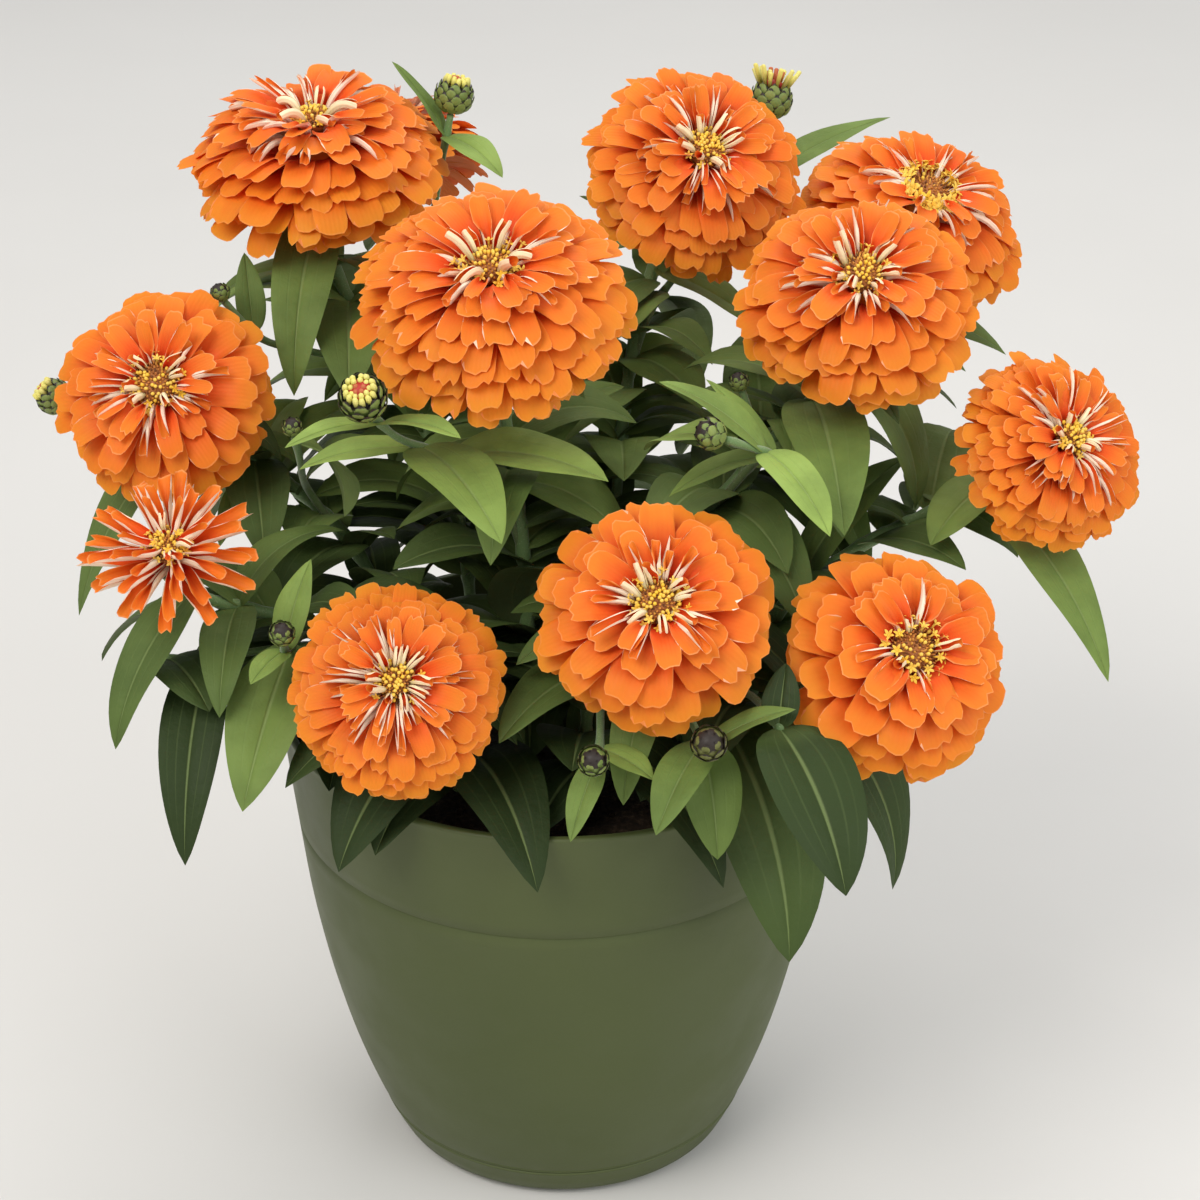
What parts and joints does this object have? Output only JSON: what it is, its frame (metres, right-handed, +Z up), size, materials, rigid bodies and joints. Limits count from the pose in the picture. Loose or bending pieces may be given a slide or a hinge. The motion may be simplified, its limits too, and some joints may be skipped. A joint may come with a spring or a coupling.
{
  "type": "potted zinnia",
  "caption": "Round olive green plastic planter on its saucer, filled with soil, with a bushy zinnia: leafy stems, double orange blooms and green buds. It stands on a floor or table.",
  "frame": {"origin": "middle of the saucer's flat underside, on the pot's axis", "axes": "+Z up along the pot's axis, -Y towards the front of the plant, +X to its right as seen from the front"},
  "size_m": [0.4904, 0.4118, 0.4793],
  "materials": {
    "planter_plastic": "satin moulded plastic",
    "soil": "loose damp potting mix",
    "foliage": "matt leaves with fine hairs",
    "petals": "velvety petals",
    "florets": "matt florets",
    "bud_scales": "matt scales with dark margins"
  },
  "bodies": {
    "root": {"saucer": "planter_plastic", "pot": "planter_plastic", "soil": "soil", "leafy_stem_1": "foliage", "leafy_stem_2": "foliage", "leafy_stem_3": "foliage", "leafy_stem_4": "foliage", "leafy_stem_5": "foliage", "leafy_stem_6": "foliage", "leafy_stem_7": "foliage", "leafy_stem_8": "foliage", "leafy_stem_9": "foliage", "leafy_stem_10": "foliage", "leafy_stem_11": "foliage", "leafy_stem_12": "foliage", "bloom_petals_1": "petals", "bloom_petals_2": "petals", "bloom_petals_3": "petals", "bloom_petals_4": "petals", "bloom_petals_5": "petals", "bloom_petals_6": "petals", "bloom_petals_7": "petals", "bloom_petals_8": "petals", "bloom_petals_9": "petals", "bloom_petals_10": "petals", "bloom_petals_11": "petals", "bloom_petals_12": "petals", "bloom_disc_1": "florets", "bloom_disc_2": "florets", "bloom_disc_3": "florets", "bloom_disc_4": "florets", "bloom_disc_5": "florets", "bloom_disc_6": "florets", "bloom_disc_7": "florets", "bloom_disc_8": "florets", "bloom_disc_9": "florets", "bloom_disc_10": "florets", "bloom_disc_11": "florets", "bloom_disc_12": "florets", "bud_a": "bud_scales", "bud_b": "bud_scales", "bud_c": "bud_scales", "bud_d": "bud_scales", "bud_e": "bud_scales", "bud_f": "bud_scales", "bud_g": "bud_scales", "bud_h": "bud_scales", "bud_i": "bud_scales", "bud_j": "bud_scales", "bud_k": "bud_scales", "bud_crown_a": "florets", "bud_crown_b": "florets", "bud_crown_c": "florets", "bud_crown_h": "florets"}
  },
  "joints": []
}
